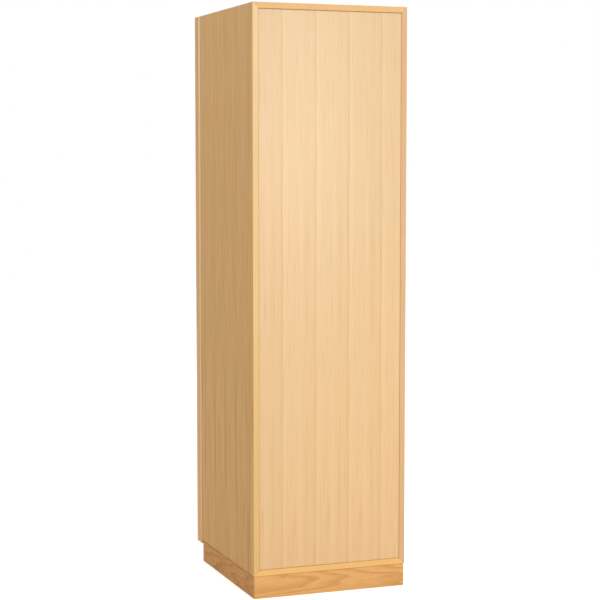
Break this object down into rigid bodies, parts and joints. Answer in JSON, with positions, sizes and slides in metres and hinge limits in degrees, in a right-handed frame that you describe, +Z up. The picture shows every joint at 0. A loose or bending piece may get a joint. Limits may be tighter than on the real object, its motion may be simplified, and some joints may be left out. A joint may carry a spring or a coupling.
{
  "type": "wardrobe",
  "caption": "Narrow free-standing oak wardrobe: mitred case with a panelled back on a plinth, a hinged door with an edge pull, a hat shelf and a hanging rail.",
  "frame": {"origin": "on the floor under the middle of the whole wardrobe, door and pull included", "axes": "+Z up, the door and its pull face -Y, the panelled back faces +Y, +X is on the right seen from the front"},
  "size_m": [0.5, 0.59, 1.8],
  "materials": {
    "veneer_back": "matt lacquered oak veneer, upright grain",
    "veneer_side": "matt lacquered oak veneer, upright grain",
    "veneer_level": "matt lacquered oak veneer, grain along the width",
    "veneer_shelf": "matt lacquered oak veneer, grain along the width",
    "veneer_door": "matt lacquered oak veneer, upright grain",
    "oak_pull": "matt lacquered solid oak, upright grain",
    "oak_plinth_wide": "matt lacquered solid oak, grain along the width",
    "oak_plinth_deep": "matt lacquered solid oak, grain along the depth",
    "beech": "sanded beech, no finish",
    "nickel_zinc": "nickel-plated zinc casting",
    "chromed_steel": "bright chrome plating",
    "zinc_steel": "zinc-plated steel",
    "magnet": "sintered dark grey",
    "brown_plastic": "moulded matt brown",
    "clear_rubber": "soft, nearly clear"
  },
  "bodies": {
    "case": {"back_panel": "veneer_back", "side_panel_left": "veneer_side", "side_panel_right": "veneer_side", "top_panel": "veneer_level", "bottom_panel": "veneer_level", "hat_shelf": "veneer_shelf", "plinth_front": "oak_plinth_wide", "plinth_back": "oak_plinth_wide", "plinth_left": "oak_plinth_deep", "plinth_right": "oak_plinth_deep", "plinth_block_front_left": "beech", "plinth_block_front_right": "beech", "plinth_block_back_left": "beech", "plinth_block_back_right": "beech", "mitre_spline_top_left": "beech", "mitre_spline_top_right": "beech", "mitre_spline_bottom_left": "beech", "mitre_spline_bottom_right": "beech", "hinge_arm_1": "nickel_zinc", "hinge_arm_2": "nickel_zinc", "hinge_arm_3": "nickel_zinc", "hinge_arm_4": "nickel_zinc", "hinge_plate_1": "nickel_zinc", "hinge_plate_2": "nickel_zinc", "hinge_plate_3": "nickel_zinc", "hinge_plate_4": "nickel_zinc", "hanging_rail": "chromed_steel", "rail_socket_left": "chromed_steel", "rail_socket_right": "chromed_steel", "shelf_pin_front_left": "zinc_steel", "shelf_pin_front_right": "zinc_steel", "shelf_pin_back_left": "zinc_steel", "shelf_pin_back_right": "zinc_steel", "plinth_screw_front_left": "zinc_steel", "plinth_screw_front_right": "zinc_steel", "plinth_screw_back_left": "zinc_steel", "plinth_screw_back_right": "zinc_steel", "catch_screw_left": "zinc_steel", "catch_screw_right": "zinc_steel", "catch_magnet": "magnet", "catch_body": "brown_plastic"},
    "door": {"door_panel": "veneer_door", "door_pull": "oak_pull", "pull_screw_1": "zinc_steel", "pull_screw_2": "zinc_steel", "pull_screw_3": "zinc_steel", "pull_screw_4": "zinc_steel", "hinge_cup_1": "nickel_zinc", "hinge_cup_2": "nickel_zinc", "hinge_cup_3": "nickel_zinc", "hinge_cup_4": "nickel_zinc", "hinge_pin_1": "zinc_steel", "hinge_pin_2": "zinc_steel", "hinge_pin_3": "zinc_steel", "hinge_pin_4": "zinc_steel", "catch_strike": "zinc_steel", "strike_screw": "zinc_steel", "door_bumper_lower": "clear_rubber", "door_bumper_upper": "clear_rubber"}
  },
  "joints": [
    {"name": "door_hinge", "type": "hinge", "parent": "case", "child": "door", "pos_m": [-0.2425, -0.2435, 0.9], "axis": [0, 0, -1], "range_deg": [0, 95]}
  ]
}
